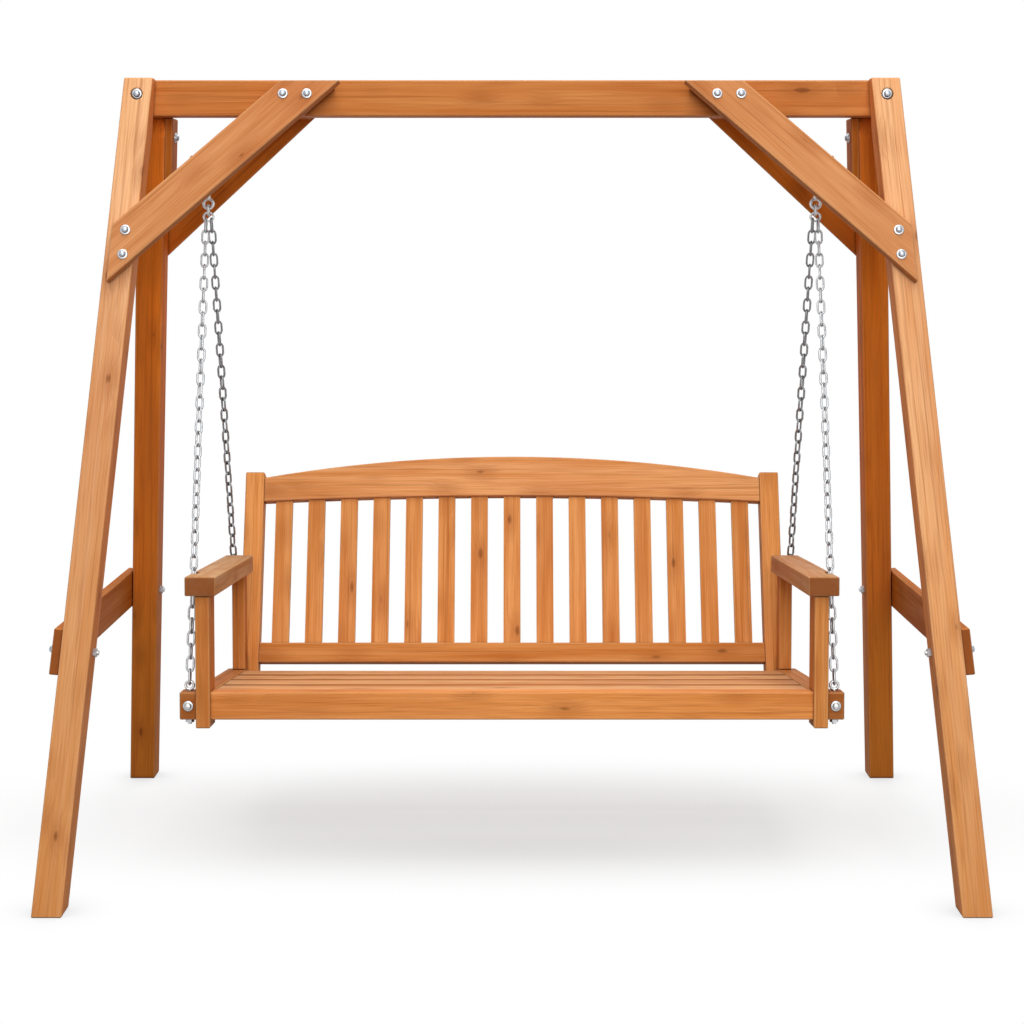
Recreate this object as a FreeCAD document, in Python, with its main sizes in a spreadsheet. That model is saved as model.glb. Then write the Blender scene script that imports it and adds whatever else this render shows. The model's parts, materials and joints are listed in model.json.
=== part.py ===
"""A-frame porch swing: a slatted bench that hangs on four chains under a splayed timber stand.

Millimetres. X runs along the top beam, the bench faces -Y and Z is up. The origin lies on the ground under
the middle of the beam.
"""
import FreeCAD, Part
import math
import os
from types import SimpleNamespace
from FreeCAD import Placement, Rotation, Vector

SIZES = {
    # Stand: legs and top beam
    "frame_height": 1716,
    "top_half_width": 842,
    "rear_top_inset": 17,
    "foot_half_width": 978,
    "top_half_depth": 70.5,
    "foot_half_depth": 583,
    "leg_width": 62,
    "leg_depth": 70,
    "beam_height": 77,
    "beam_depth": 74,
    "beam_drop": 3,
    "beam_end_inset": 12,
    # Stand: braces, packers, cleats, stretchers and hanger bars
    "brace_width": 86,
    "brace_thickness": 24,
    "brace_angle": 42.4,
    "brace_reach": 373,
    "brace_top_drop": 11.7,
    "brace_end_inset": 16,
    "packer_inset": 7,
    "cleat_low_drop": 212,
    "cleat_thickness": 17,
    "stretcher_low": 470,
    "stretcher_height": 93,
    "stretcher_thickness": 20,
    "stretcher_end_inset": 12,
    "hanger_half_span": 674.5,
    "hanger_drop": 213,
    "hanger_height": 44,
    "hanger_width": 40,
    # Bench: pose of the bench, the seat and the back
    "bench_front": -415.3,
    "bench_low": 354,
    "bench_tilt": 4.5,
    "seat_tilt": 2.6,
    "back_tilt": 16,
    # Bench: front rail, posts and armrests
    "post_inner": 631,
    "post_thickness": 30,
    "front_post_depth": 75,
    "rear_post_front": 567,
    "rear_post_depth": 45,
    "rail_set_back": 9,
    "rail_depth": 48,
    "rail_height": 58,
    "rail_low": 17,
    "rail_overhang": 35,
    "arm_underside": 278.5,
    "arm_thickness": 40,
    "arm_inner_overhang": 14.5,
    "arm_outer_overhang": 19.5,
    "arm_front_overhang": 12,
    "arm_rear": 609,
    "notch_depth": 14,
    # Bench: seat
    "side_rail_thickness": 46,
    "tail_drop": 15,
    "tail_length": 142,
    "rear_rail_depth": 40,
    "rear_rail_drop": 8,
    "bearer_width": 40,
    "slat_thickness": 20,
    "slat_gap": 12,
    "seat_rear": 538,
    # Bench: back
    "stile_inner": 606,
    "stile_width": 46,
    "stile_depth": 47,
    "stile_height": 489,
    "back_rail_thickness": 30,
    "low_rail_bottom": 15,
    "low_rail_height": 48,
    "top_rail_bottom": 415,
    "top_rail_end_height": 60,
    "top_rail_low_rise": 15,
    "top_rail_high_rise": 54,
    "back_slat_width": 41,
    "back_slat_thickness": 14,
    "back_slat_pitch": 79.5,
    # Chains and their fittings
    "hanger_eye_drop": 67,
    "wire": 4.6,
    "link_inner_width": 9,
    "link_pitch": 27,
    "connector_inner_length": 17.5,
    "connector_inner_width": 10,
    "ring_inner_width": 17,
    "ring_inner_height": 13.5,
    "chain_spread": 5.9,
    "hanger_eye_radius": 10.5,
    "hanger_eye_wire": 7,
    "eye_radius": 8.5,
    "eye_wire": 6,
    "front_eye_reach": 17,
    "rear_eye_from_end": 26,
    "rear_eye_inset": 14.5,
    # Fasteners
    "bolt_diameter": 10,
    "screw_diameter": 8,
    "washer_diameter": 22,
    "washer_thickness": 2.5,
    "head_diameter": 15,
    "head_height": 7,
    "nut_height": 8,
    "nut_flats": 16,
    "nut_tail": 4,
    "spot_face_room": 2,
    "spot_face_depth": 0.8,
    "screw_bite": 28,
    "apex_bolt_rise": 6.5,
    "high_screw_drop": 40.5,
    "low_screw_inset": 44,
    "cleat_screw_drop": 122,
    "lock_screw_depth": 16,
    # Shared fits
    "easing": 2,
    "hole_room": 0.25,
    "link_gap": 0.3,
    "joint_gap": 0.3,
}

SEAT_SLATS = 4
BACK_SLATS = 15
EYE_SIDES = 4
EYE_BENDS = 12
BOLT_SIDES = 8
HOLE_SIDES = 6
LINK_CORNER = 0.5
LONG_EDGE = 1.5
HIGH_SCREW_SPREAD = 0.3
LOW_SCREW_SHARES = (0.11, 0.54)
X_AXIS = Vector(1, 0, 0)
Y_AXIS = Vector(0, 1, 0)
Z_AXIS = Vector(0, 0, 1)
SIDES = {"left": -1, "right": 1}

doc = FreeCAD.newDocument("porch_swing")
sheet = doc.addObject("Spreadsheet::Sheet", "Sizes")
for row, (alias, value) in enumerate(SIZES.items(), start=1):
    sheet.set("A%d" % row, alias)
    sheet.set("B%d" % row, str(value))
    sheet.setAlias("B%d" % row, alias)
doc.recompute()
size = SimpleNamespace(**{alias: float(sheet.get(alias)) for alias in SIZES})
nodes = []


# Shared geometry of the stand: the legs' front plane leans back, and their outer planes lean in

lean = (size.foot_half_depth - size.top_half_depth) / size.frame_height
lean_angle = math.atan(lean)
beam_top = size.frame_height - size.beam_drop
beam_bottom = beam_top - size.beam_height
apex_bolt_height = beam_top - size.beam_height / 2 + size.apex_bolt_rise
hanger_low = size.frame_height - size.hanger_drop
pivot_height = hanger_low - size.hanger_eye_drop
wire_radius = size.wire / 2


def face_depth(height):
    """How far the legs' front plane stands from the middle of the stand."""
    return size.top_half_depth + lean * (size.frame_height - height)


HALF_TURN = Placement(Vector(), Rotation(Z_AXIS, 180))
FRONT = SimpleNamespace(name="front", turn=Placement(), top_reach=size.top_half_width,
                        top="Sizes.top_half_width", seat="Sizes.washer_diameter")
REAR = SimpleNamespace(name="rear", turn=HALF_TURN, top_reach=size.top_half_width - size.rear_top_inset,
                       top="Sizes.top_half_width - Sizes.rear_top_inset",
                       seat="Sizes.nut_flats / cos(30 deg)")
ROWS = (FRONT, REAR)
for row in ROWS:
    row.splay = (size.foot_half_width - row.top_reach) / size.frame_height
    row.edge_rate = row.splay * math.cos(lean_angle)
mean_splay = (FRONT.splay + REAR.splay) / 2


def outer_reach(row, height):
    """How far the outer plane of a row of legs stands from the middle of the stand."""
    return row.top_reach + row.splay * (size.frame_height - height)


def own_side(row, side):
    """The side on which a piece is drawn: rear pieces are drawn as front ones and then turned."""
    return side if row is FRONT else -side


LEG_FACE = Placement(Vector(0, -size.top_half_depth, size.frame_height),
                     Rotation(X_AXIS, 90 - math.degrees(lean_angle)))
INTO_FACE = LEG_FACE.Rotation.multVec(Vector(0, 0, -1))

# Shared geometry of the bench: each frame is set on the one before it

BENCH = Placement(Vector(0, size.bench_front, size.bench_low), Rotation(X_AXIS, -size.bench_tilt))
rail_top = size.rail_low + size.rail_height
rail_rear = size.rail_set_back + size.rail_depth
SEAT_IN_BENCH = Placement(Vector(0, size.rail_set_back, rail_top), Rotation(X_AXIS, -size.seat_tilt))
SEAT = BENCH.multiply(SEAT_IN_BENCH)
post_outer = size.post_inner + size.post_thickness
rear_post_rear = size.rear_post_front + size.rear_post_depth
seat_slope = math.tan(math.radians(size.seat_tilt))
back_slope = math.tan(math.radians(size.back_tilt))


def seat_run(bench_y, seat_height):
    """Where a plane square to the bench's Y axis cuts a level of the seat."""
    level = math.cos(math.radians(size.seat_tilt))
    return (bench_y - size.rail_set_back) / level - seat_height * seat_slope


back_front = seat_run(rear_post_rear, 0) + size.joint_gap
BACK = SEAT.multiply(Placement(Vector(0, back_front, 0), Rotation(X_AXIS, -size.back_tilt)))
side_rail_outer = size.post_inner + size.side_rail_thickness
tail_front = back_front - size.tail_drop * back_slope - size.joint_gap
tail_end = tail_front + size.tail_length


# Building helpers

def start_body(label, place=Placement()):
    body = doc.addObject("PartDesign::Body", label)
    body.Label = label
    body.Placement = place
    nodes.append(body)
    return body


def bind(feature, **cells):
    """Ties properties of a feature to the sheet."""
    for name, expression in cells.items():
        feature.setExpression(name.replace("_", "."), expression)


def polygon(points):
    return [Part.LineSegment(Vector(*a), Vector(*b)) for a, b in zip(points, points[1:] + points[:1])]


def pad(body, role, edges, offset, length):
    """Pads a closed outline on one of the body's own planes, moved along the plane's normal."""
    sketch = body.newObject("Sketcher::SketchObject", body.Label + "_outline")
    plane = [feature for feature in body.Origin.OriginFeatures if feature.Role == role][0]
    sketch.AttachmentSupport = (plane, "")
    sketch.MapMode = "FlatFace"
    sketch.AttachmentOffset = Placement(Vector(0, 0, offset), Rotation())
    for edge in edges:
        sketch.addGeometry(edge, False)
    feature = body.newObject("PartDesign::Pad", body.Label + "_pad")
    feature.Profile = sketch
    bind(feature, Length=length)
    return feature


def box(body, corner, length, width, height):
    feature = body.newObject("PartDesign::AdditiveBox", body.Label + "_blank")
    feature.Placement = Placement(Vector(*corner), Rotation())
    bind(feature, Length=length, Width=width, Height=height)
    return feature


def ease(body, feature, longer_than=0):
    """Takes the sharp edges off a board, or only off its edges of more than a given length."""
    doc.recompute()
    names = ["Edge%d" % number for number, edge in enumerate(feature.Shape.Edges, start=1)
             if edge.Length > longer_than]
    chamfer = body.newObject("PartDesign::Chamfer", body.Label + "_eased")
    chamfer.Base = (feature, names)
    bind(chamfer, Size="Sizes.easing")
    return chamfer


def drill(body, start, direction, diameter, depth, room="Sizes.hole_room", sides=HOLE_SIDES):
    """Cuts a hole, drawn with a few flats, that starts at a point and runs along a direction."""
    hole = body.newObject("PartDesign::SubtractivePrism", body.Label + "_hole")
    hole.Placement = Placement(start, Rotation(Z_AXIS, direction))
    hole.Polygon = sides
    hole.Height = depth
    bind(hole, Circumradius="(%s / 2 + %s) / cos(%g deg)" % (diameter, room, 180 / sides))
    return hole


def cut_box(body, place, length, width, height):
    cut = body.newObject("PartDesign::SubtractiveBox", body.Label + "_cut")
    cut.Length = length
    cut.Width = width
    cut.Height = height
    cut.Placement = place
    return cut


def board(label, place, corner, length, width, height):
    """A plain board with eased edges."""
    body = start_body(label, place)
    ease(body, box(body, corner, length, width, height))
    return body


def group(label, pieces):
    """One node that holds separate solids."""
    feature = doc.addObject("Part::Feature", label)
    feature.Label = label
    feature.Shape = Part.makeCompound(pieces)
    nodes.append(feature)
    return feature


def placed(shape, place):
    copy = shape.copy()
    copy.Placement = place
    return copy


def aimed(point, direction):
    """A placement at a point whose Z axis runs along a direction."""
    return Placement(point, Rotation(Z_AXIS, direction))


# Fasteners, each along its own Z axis with the seat of its head or nut at zero

def headed_bolt(diameter, length):
    """A domed head on a washer, with a plain shank below the seat."""
    washer = size.washer_diameter / 2
    head = size.head_diameter / 2
    crown = size.washer_thickness + size.head_height
    outline = [(diameter / 2, -length), (diameter / 2, 0), (washer, 0), (washer, size.washer_thickness),
               (head, size.washer_thickness), (head / 2, crown)]
    levels = [flat_ring(radius, height, BOLT_SIDES) for radius, height in outline]
    faces = [Part.Face(Part.makePolygon(ring + ring[:1])) for ring in (levels[0], levels[-1])]
    for below, above in zip(levels, levels[1:]):
        faces += band(below, above)
    return closed(faces)


def hex_nut(diameter):
    blank, hole = (Part.Face(Part.makePolygon(ring + ring[:1])).extrude(Vector(0, 0, size.nut_height))
                   for ring in (flat_ring(size.nut_flats / 2 / math.cos(math.pi / 6), 0, 6),
                                flat_ring((diameter / 2 + size.hole_room) / math.cos(math.pi / 6), 0, 6)))
    return blank.cut(hole)


def eyebolt(radius, wire, shank_diameter, shank_length):
    """A ring in the XZ plane on a shank; the top of the shank's seat is the foot of the ring."""
    half_bend = math.pi / EYE_BENDS
    bends = [half_bend * (2 * k + 1) for k in range(EYE_BENDS)]
    path = [(radius / math.cos(half_bend) * math.cos(turn), radius / math.cos(half_bend) * math.sin(turn))
            for turn in bends]
    ring = placed(loop(path, eye_section(wire)), Placement(Vector(0, 0, radius + wire / 2), Rotation()))
    foot = flat_ring(shank_diameter / 2, -shank_length, BOLT_SIDES)
    shank = Part.Face(Part.makePolygon(foot + foot[:1])).extrude(Z_AXIS * (shank_length + wire / 2))
    return ring.fuse(shank)


def flat_ring(radius, height, sides):
    """The corners of a level polygon round the Z axis."""
    turns = [2 * math.pi * k / sides for k in range(sides)]
    return [Vector(radius * math.cos(turn), radius * math.sin(turn), height) for turn in turns]


def band(near, far):
    """The flats between two polygons that have as many corners."""
    faces = []
    for corner in range(len(near)):
        beside = (corner + 1) % len(near)
        corners = [near[corner], far[corner], far[beside], near[beside], near[corner]]
        faces.append(Part.Face(Part.makePolygon(corners)))
    return faces


def closed(faces):
    solid = Part.makeSolid(Part.makeShell(faces))
    if solid.Volume < 0:
        solid.reverse()
    return solid


# Bent wire, drawn with a few flats, with each bend cut to a mitre

def link(inner_length, inner_width, corner):
    """A closed link with its length along Z and its width along X."""
    half_width = inner_width / 2 + wire_radius
    half_length = inner_length / 2 + wire_radius
    path = []
    for across, along in ((1, 1), (-1, 1), (-1, -1), (1, -1)):
        side = (across * half_width, along * (half_length - corner))
        end = (across * (half_width - corner), along * half_length)
        path += [side, end] if across == along else [end, side]
    return loop(path, [(-wire_radius, -wire_radius), (wire_radius, 0), (-wire_radius, wire_radius)])


def corner_radius(wire):
    """The reach of the inner corners of a wire, whose flats stand half its size from the middle."""
    return wire / 2 / math.cos(math.pi / EYE_SIDES)


def eye_section(wire):
    turns = [math.pi + (2 * side + 1) * math.pi / EYE_SIDES for side in range(EYE_SIDES)]
    return [(corner_radius(wire) * math.cos(turn), corner_radius(wire) * math.sin(turn)) for turn in turns]


def loop(path, section):
    """A wire along a closed path of X and Z places, with a section of places outward and sideways."""
    normals = []
    for (x0, z0), (x1, z1) in zip(path, path[1:] + path[:1]):
        run = math.hypot(x1 - x0, z1 - z0)
        normals.append(((z1 - z0) / run, (x0 - x1) / run))
    rings = []
    for index, (x, z) in enumerate(path):
        before = normals[index - 1]
        after = normals[index]
        spread = 1 + before[0] * after[0] + before[1] * after[1]
        mitre = ((before[0] + after[0]) / spread, (before[1] + after[1]) / spread)
        rings.append([Vector(x + out * mitre[0], sideways, z + out * mitre[1]) for out, sideways in section])
    faces = []
    for near, far in zip(rings, rings[1:] + rings[:1]):
        faces += band(near, far)
    return closed(faces)


def chain(label, side, top, bottom, bottom_radius):
    """An even number of links from the ring's wire to the wire at the bottom.

    Each is turned a little more than a quarter turn from the last, so that the chain twists by a quarter turn
    and its first and last links hang square on their wires.
    """
    run = bottom - top
    top_radius = corner_radius(size.wire)
    reach = run.Length + top_radius + bottom_radius + size.link_gap
    count = 2 * round(reach / size.link_pitch / 2)
    pitch = reach / count
    step = side * (90 + 90 / (count - 1))
    down = run.normalize()
    square = Rotation(Y_AXIS, Vector(), down, "ZXY")
    inner_length = pitch + size.link_gap
    corner = LINK_CORNER * (size.link_inner_width / 2 + wire_radius)
    shape = link(inner_length, size.link_inner_width, corner)
    first = top + down * (inner_length / 2 - top_radius - size.link_gap)
    links = []
    for k in range(count):
        turn = square.multiply(Rotation(Z_AXIS, step * k))
        links.append(placed(shape, Placement(first + down * (pitch * k), turn)))
    return group(label, links)


# The stand

def build_beam():
    body = board("top_beam", Placement(),
                 (size.beam_end_inset - size.top_half_width, -size.beam_depth / 2, beam_bottom),
                 "2 * (Sizes.top_half_width - Sizes.beam_end_inset)", "Sizes.beam_depth", "Sizes.beam_height")
    for side in SIDES.values():
        drill(body, Vector(side * apex_bolt_reach, -size.beam_depth, apex_bolt_height), Y_AXIS,
              "Sizes.bolt_diameter", 2 * size.beam_depth)
        for turn in (Placement(), HALF_TURN):
            for start in brace_screws_high(side):
                drill(body, turn.multVec(start), turn.Rotation.multVec(INTO_FACE), "Sizes.screw_diameter",
                      high_screw_length + size.joint_gap)
    return body


def leg_stick(body, row, side, near, far, low, height):
    """Pads an upright stick along a leg, between two distances inward from the leg's outer plane."""
    front, rear = -face_depth(low), size.leg_depth - face_depth(low)
    across = [side * (outer_reach(row, low) - inset) for inset in (far, near)]
    corners = [(across[0], front), (across[1], front), (across[1], rear), (across[0], rear)]
    blank = pad(body, "XY_Plane", polygon(corners), low, height)
    blank.UseCustomVector = True
    blank.AlongSketchNormal = True
    bind(blank, Direction_x="%d * (%s - Sizes.foot_half_width)" % (side, row.top),
         Direction_y="Sizes.foot_half_depth - Sizes.top_half_depth", Direction_z="Sizes.frame_height")
    return ease(body, blank)


def build_leg(row, name, world_side):
    """A leg with its foot and top cut level and its upper end cut upright to lie against the beam."""
    body = start_body("%s_%s_leg" % (row.name, name), row.turn)
    side = own_side(row, world_side)
    leg_stick(body, row, side, 0, size.leg_width, 0, "Sizes.frame_height")
    seat_length = size.leg_depth / lean
    low = Vector(-size.foot_half_width, -size.beam_depth / 2, size.frame_height - seat_length)
    cut_box(body, Placement(low, Rotation()), 2 * size.foot_half_width, size.leg_depth, 2 * seat_length)
    spot = Vector(side * apex_bolt_reach, -apex_seat, apex_bolt_height)
    drill(body, spot, Y_AXIS, "Sizes.bolt_diameter", size.leg_depth)
    drill(body, spot, -Y_AXIS, row.seat, size.leg_depth, "Sizes.spot_face_room", 2 * HOLE_SIDES)
    for start in brace_screws_low(row, side):
        drill(body, start, INTO_FACE, "Sizes.screw_diameter", low_screw_length + size.joint_gap)
    place = row.turn.multiply(stretcher_place(world_side))
    way = place.Rotation.multVec(-X_AXIS)
    start = place.multVec(stretcher_bolt(row, world_side)) - way * size.leg_width
    drill(body, start, way, "Sizes.bolt_diameter", 3 * size.leg_width)
    if row is REAR:
        drill(body, cleat_screw(side), into_leg(side), "Sizes.screw_diameter",
              cleat_screw_length + size.joint_gap)
    return body


cleat_low = size.frame_height - size.cleat_low_drop
cleat_screw_height = size.frame_height - size.cleat_screw_drop
cleat_screw_length = size.cleat_thickness + size.screw_bite


def into_leg(side):
    """The way from a cleat straight into its rear leg."""
    return Vector(side, 0, REAR.splay).normalize()


def cleat_screw(side):
    """The place of the screw's head on the cleat's inner face."""
    across = outer_reach(REAR, cleat_screw_height) - size.leg_width - size.cleat_thickness
    return Vector(side * across, size.leg_depth / 2 - face_depth(cleat_screw_height), cleat_screw_height)


def build_cleat(side):
    """A block on the inner face of a rear leg, with the beam on top of it."""
    body = start_body("cleat")
    nodes.remove(body)
    height = "Sizes.cleat_low_drop - Sizes.beam_drop - Sizes.beam_height - Sizes.joint_gap"
    leg_stick(body, REAR, side, size.leg_width, size.leg_width + size.cleat_thickness, cleat_low, height)
    start = cleat_screw(side) - into_leg(side) * size.cleat_thickness
    drill(body, start, into_leg(side), "Sizes.screw_diameter", 3 * size.cleat_thickness)
    doc.recompute()
    return placed(body.Shape, REAR.turn)


brace_rad = math.radians(size.brace_angle)
brace_top_height = beam_top - size.brace_top_drop
brace_top = (brace_top_height - size.frame_height) / math.cos(lean_angle)
brace_slant = size.brace_width / math.sin(brace_rad)


def brace_end(row, start):
    """Where a long edge of the brace, from a place on its top cut, meets the cut beside the leg's edge."""
    reach = row.top_reach - size.brace_end_inset - row.edge_rate * brace_top - start
    run = reach / (math.cos(brace_rad) - row.edge_rate * math.sin(brace_rad))
    return start + run * math.cos(brace_rad), brace_top - run * math.sin(brace_rad)


def build_brace(row, name, world_side):
    body = start_body("%s_%s_brace" % (row.name, name), row.turn.multiply(LEG_FACE))
    side = own_side(row, world_side)
    low, high = size.brace_reach, size.brace_reach + brace_slant
    points = [(low, brace_top), brace_end(row, low), brace_end(row, high), (high, brace_top)]
    blank = pad(body, "XY_Plane", polygon([(side * x, y) for x, y in points]), 0, "Sizes.brace_thickness")
    ease(body, blank, LONG_EDGE * brace_slant)
    back = LEG_FACE.inverse()
    for start in brace_screws_high(side) + brace_screws_low(row, side):
        drill(body, back.multVec(start), -Z_AXIS, "Sizes.screw_diameter", 2 * size.brace_thickness)
    return body


def build_packer(side, turn):
    """A tapered block that fills the room between the beam and the upper end of a brace."""
    body = start_body("packer")
    nodes.remove(body)
    level = 1 / (math.tan(brace_rad) * math.cos(lean_angle))
    top, bottom = brace_top_height - size.packer_inset, beam_bottom
    points = []
    for height, start in ((top, 0), (bottom, 0), (bottom, brace_slant), (top, brace_slant)):
        inset = size.packer_inset if start == 0 else -size.packer_inset
        across = size.brace_reach + (brace_top_height - height) * level + start + inset
        points.append((side * across, height))
    room = face_depth(bottom)
    pad(body, "XZ_Plane", polygon(points), size.beam_depth / 2, "Sizes.foot_half_depth")
    doc.recompute()
    plane = LEG_FACE.multiply(Placement(Vector(-size.foot_half_width, -size.frame_height, 0), Rotation()))
    cut_box(body, plane, 2 * size.foot_half_width, 2 * size.frame_height, size.foot_half_depth + room)
    for start in brace_screws_high(side):
        drill(body, start, INTO_FACE, "Sizes.screw_diameter", high_screw_length + size.joint_gap)
    doc.recompute()
    return placed(body.Shape, turn)


def brace_screws_high(side):
    """Places on the brace's outer face of the two screws into the beam."""
    middle = size.brace_reach + brace_slant / 2 + (brace_top_height - high_screw_height) / math.tan(brace_rad)
    gap = size.brace_width * HIGH_SCREW_SPREAD
    level = (high_screw_height - size.frame_height) / math.cos(lean_angle)
    return [LEG_FACE.multVec(Vector(side * (middle + step), level, size.brace_thickness))
            for step in (-gap, gap)]


def brace_screws_low(row, side):
    """Places on the brace's outer face of the two screws into the leg."""
    outer = brace_end(row, size.brace_reach)[1]
    inner = brace_end(row, size.brace_reach + brace_slant)[1]
    places = []
    for share in LOW_SCREW_SHARES:
        level = inner + (outer - inner) * share
        across = row.top_reach - row.edge_rate * level - size.low_screw_inset
        places.append(LEG_FACE.multVec(Vector(side * across, level, size.brace_thickness)))
    return places


stretcher_middle = size.stretcher_low + size.stretcher_height / 2
stretcher_bolt_depth = face_depth(stretcher_middle) - size.leg_depth / 2
stretcher_gap = 2 * size.joint_gap


def stretcher_place(side):
    """The frame of a stretcher's inner face, which follows two legs' outer faces that lean in unequally."""
    ends = [Vector(side * outer_reach(row, stretcher_middle), end * stretcher_bolt_depth, stretcher_middle)
            for row, end in ((FRONT, -1), (REAR, 1))]
    turn = Rotation(Vector(), (ends[1] - ends[0]) * side, Vector(-side * mean_splay, 0, 1), "YZX")
    return Placement((ends[0] + ends[1]) * 0.5 + turn.multVec(X_AXIS) * stretcher_gap, turn)


def stretcher_bolt(row, side):
    """The place of a bolt's axis on the stretcher's inner face."""
    return Vector(0, -own_side(row, side) * stretcher_bolt_depth, 0)


def build_stretcher(name, side):
    """A board across the outer faces of two legs, its ends cut in line with the legs' lean."""
    body = start_body(name + "_stretcher", stretcher_place(side))
    half = size.stretcher_height / 2
    wide, narrow = (face_depth(stretcher_middle + step) - size.stretcher_end_inset for step in (-half, half))
    points = [(-wide, -half), (wide, -half), (narrow, half), (-narrow, half)]
    ease(body, pad(body, "YZ_Plane", polygon(points), 0, "Sizes.stretcher_thickness"))
    for row in ROWS:
        start = stretcher_bolt(row, side) - X_AXIS * size.stretcher_thickness
        drill(body, start, X_AXIS, "Sizes.bolt_diameter", 3 * size.stretcher_thickness)
    return body


apex_bolt_reach = outer_reach(FRONT, apex_bolt_height) - size.leg_width / 2
spot_radius = (size.washer_diameter / 2 + size.spot_face_room) / math.cos(math.pi / (2 * HOLE_SIDES))
apex_seat = face_depth(apex_bolt_height + spot_radius) - size.spot_face_depth
high_screw_height = beam_top - size.high_screw_drop
high_screw_length = ((face_depth(high_screw_height) - size.beam_depth / 2) / math.cos(lean_angle)
                     + size.brace_thickness + size.screw_bite)
low_screw_length = size.brace_thickness + size.screw_bite


def build_hanger_bar(label, side):
    """A bar between the front and rear braces, bevelled to their inner faces."""
    body = start_body(label)
    low, high = hanger_low, hanger_low + size.hanger_height
    wide, narrow = face_depth(low), face_depth(high)
    points = [(-wide, low), (wide, low), (narrow, high), (-narrow, high)]
    offset = side * size.hanger_half_span - size.hanger_width / 2
    ease(body, pad(body, "YZ_Plane", polygon(points), offset, "Sizes.hanger_width"))
    start = Vector(side * size.hanger_half_span, 0, low - size.hanger_height)
    drill(body, start, Z_AXIS, "Sizes.bolt_diameter", 3 * size.hanger_height)
    return body


def build_stand():
    build_beam()
    for row in ROWS:
        for name, side in SIDES.items():
            build_leg(row, name, side)
            build_brace(row, name, side)
    group("brace_packers", [build_packer(side, row.turn) for row in ROWS for side in SIDES.values()])
    group("leg_cleats", [build_cleat(side) for side in SIDES.values()])
    for name, side in SIDES.items():
        build_stretcher(name, side)
        build_hanger_bar(name + "_hanger_bar", side)


def build_stand_fasteners():
    span = 2 * apex_seat
    past_seat = size.nut_height + size.nut_tail
    apex = headed_bolt(size.bolt_diameter, span + past_seat)
    nut = hex_nut(size.bolt_diameter)
    starts = [Vector(side * apex_bolt_reach, -apex_seat, apex_bolt_height) for side in SIDES.values()]
    group("apex_bolts", [placed(apex, aimed(start, -Y_AXIS)) for start in starts])
    group("apex_nuts", [placed(nut, aimed(start + Y_AXIS * span, Y_AXIS)) for start in starts])
    high_screw = headed_bolt(size.screw_diameter, high_screw_length)
    low_screw = headed_bolt(size.screw_diameter, low_screw_length)
    leg_grip = size.leg_width * math.cos(math.atan(mean_splay))
    grip = size.stretcher_thickness + stretcher_gap + leg_grip + size.joint_gap
    stretcher_shape = headed_bolt(size.bolt_diameter, grip + past_seat)
    screws, bolts, nuts = [], [], []
    for row in ROWS:
        for side in SIDES.values():
            for screw, places in ((high_screw, brace_screws_high(side)),
                                  (low_screw, brace_screws_low(row, side))):
                screws += [placed(screw, row.turn.multiply(aimed(start, -INTO_FACE))) for start in places]
            place = stretcher_place(side)
            head = stretcher_bolt(row, side) + X_AXIS * size.stretcher_thickness
            bolts.append(placed(stretcher_shape, place.multiply(aimed(head, X_AXIS))))
            nuts.append(placed(nut, place.multiply(aimed(head - X_AXIS * grip, -X_AXIS))))
    group("brace_screws", screws)
    group("stretcher_bolts", bolts)
    group("stretcher_nuts", nuts)
    cleat_shape = headed_bolt(size.screw_diameter, cleat_screw_length)
    heads = [aimed(cleat_screw(side), -into_leg(side)) for side in SIDES.values()]
    group("leg_cleat_screws", [placed(cleat_shape, REAR.turn.multiply(head)) for head in heads])
    seat = hanger_low + size.hanger_height
    ring_top = pivot_height + 2 * size.hanger_eye_radius + size.hanger_eye_wire / 2
    eye = eyebolt(size.hanger_eye_radius, size.hanger_eye_wire, size.bolt_diameter,
                  seat + past_seat - ring_top)
    upside_down = Rotation(Y_AXIS, 180)
    across = [side * size.hanger_half_span for side in SIDES.values()]
    group("hanger_eyebolts", [placed(eye, Placement(Vector(x, 0, ring_top), upside_down)) for x in across])
    group("hanger_nuts", [placed(nut, Placement(Vector(x, 0, seat), Rotation())) for x in across])


# The chains

front_eye = Vector(post_outer + size.front_eye_reach, size.rail_set_back + size.rail_depth / 2, rail_top)
rear_eye = Vector(side_rail_outer - size.rear_eye_inset, tail_end - size.rear_eye_from_end, -size.tail_drop)
eye_rise = 2 * size.eye_radius + size.eye_wire / 2
connector_seat = corner_radius(size.hanger_eye_wire) + size.link_gap
connector_drop = size.connector_inner_length - connector_seat - wire_radius - size.link_gap
ring_drop = size.ring_inner_height + size.wire
chain_top_height = pivot_height - connector_drop - ring_drop


def chain_ends(side):
    """The wires that carry the front and the rear chain, at the ring and at the bench."""
    ends = {}
    for name, eye, place, step in (("front", front_eye, BENCH, 1), ("rear", rear_eye, SEAT, -1)):
        top = Vector(side * (size.hanger_half_span + step * size.chain_spread), 0, chain_top_height)
        bottom = place.multVec(Vector(side * eye.x, eye.y, eye.z + eye_rise))
        ends[name] = (top, bottom)
    return ends


def build_chains():
    connector = link(size.connector_inner_length, size.connector_inner_width,
                     LINK_CORNER * (size.connector_inner_width / 2 + wire_radius))
    ring = link(size.ring_inner_height, size.ring_inner_width, size.wire / 2)
    middle = pivot_height + connector_seat - size.connector_inner_length / 2
    connectors, rings = [], []
    for side in SIDES.values():
        across = side * size.hanger_half_span
        connectors.append(placed(connector, Placement(Vector(across, 0, middle), Rotation(Z_AXIS, 90))))
        rings.append(placed(ring, Placement(Vector(across, 0, chain_top_height + ring_drop / 2), Rotation())))
    group("connecting_links", connectors)
    group("chain_rings", rings)
    for name, side in SIDES.items():
        for end, (top, bottom) in chain_ends(side).items():
            chain("%s_%s_chain" % (end, name), side, top, bottom, corner_radius(size.eye_wire))


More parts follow.
